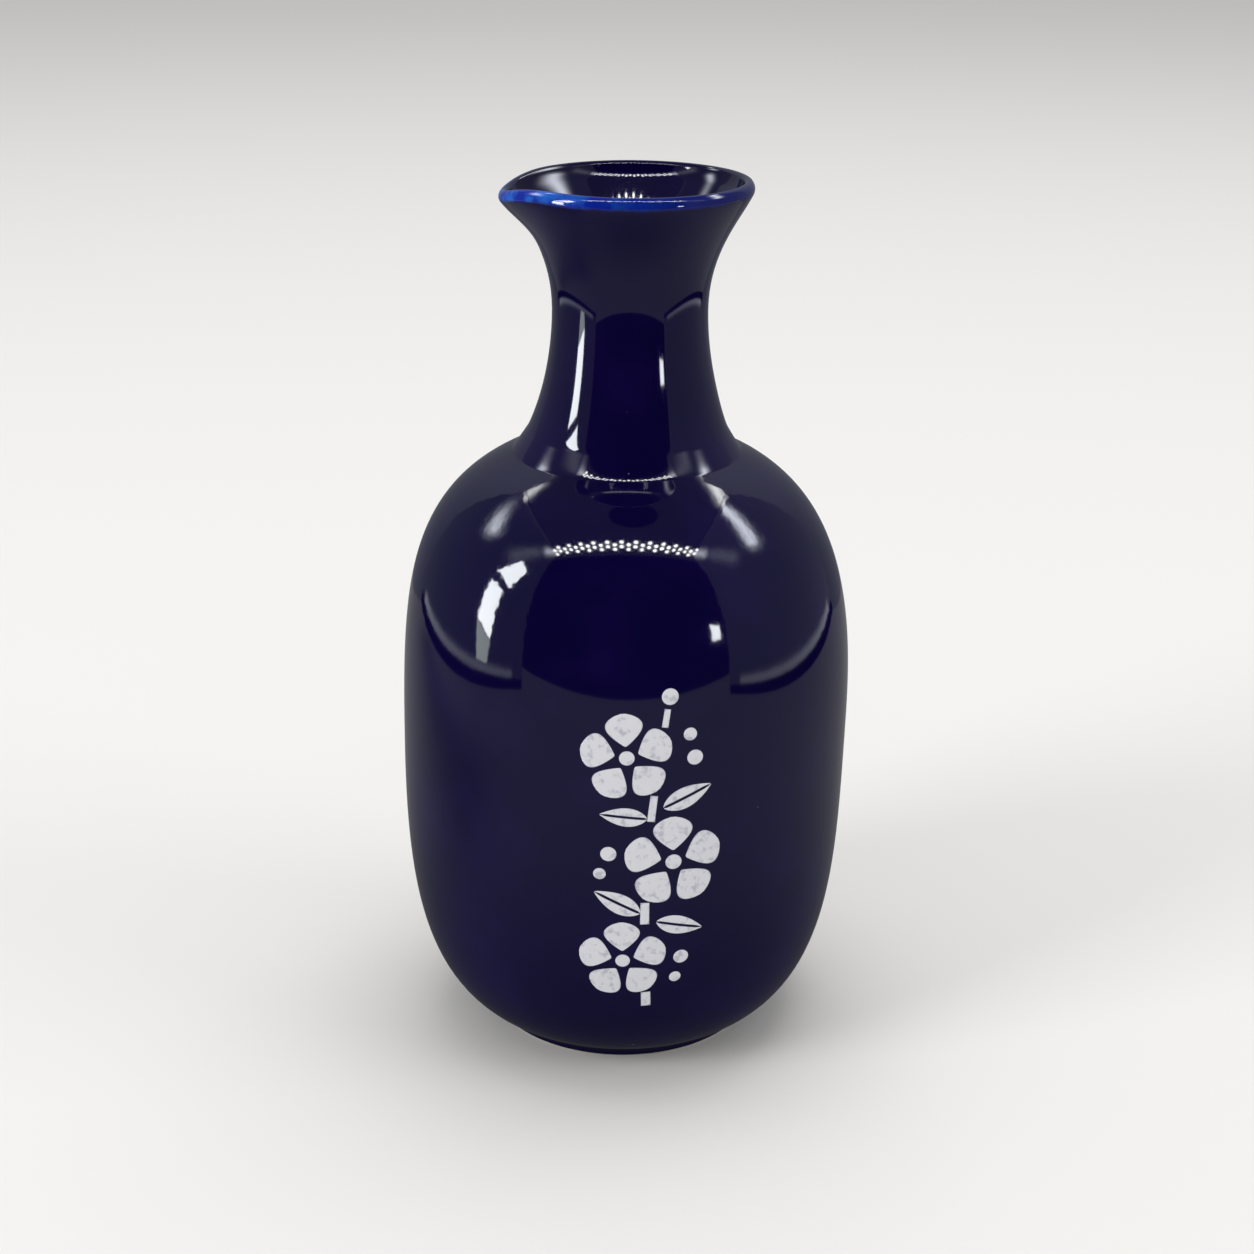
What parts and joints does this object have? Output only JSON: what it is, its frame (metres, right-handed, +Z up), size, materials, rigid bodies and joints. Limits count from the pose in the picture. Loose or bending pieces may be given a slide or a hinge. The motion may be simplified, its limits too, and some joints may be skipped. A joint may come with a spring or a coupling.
{
  "type": "ceramic decanter",
  "caption": "Glazed stoneware sake decanter with a tall rounded body, a waisted neck, a flared mouth with a rolled rim and a pulled pouring lip, and a recessed foot ring.",
  "frame": {"origin": "centre of the foot ring, in the plane of the table that it stands on", "axes": "+Z up through the neck, -X towards the pouring lip, -Y towards the decorated front"},
  "size_m": [0.077, 0.0768, 0.148],
  "materials": {
    "fired_clay": "matte, fine grained, bare under the foot ring",
    "cobalt_glaze": "glossy",
    "inside_glaze": "glossy",
    "foot_recess_glaze": "glossy"
  },
  "bodies": {
    "root": {"clay_body": "fired_clay", "cobalt_coat": "cobalt_glaze", "liner_glaze": "inside_glaze", "foot_glaze": "foot_recess_glaze"}
  },
  "joints": []
}
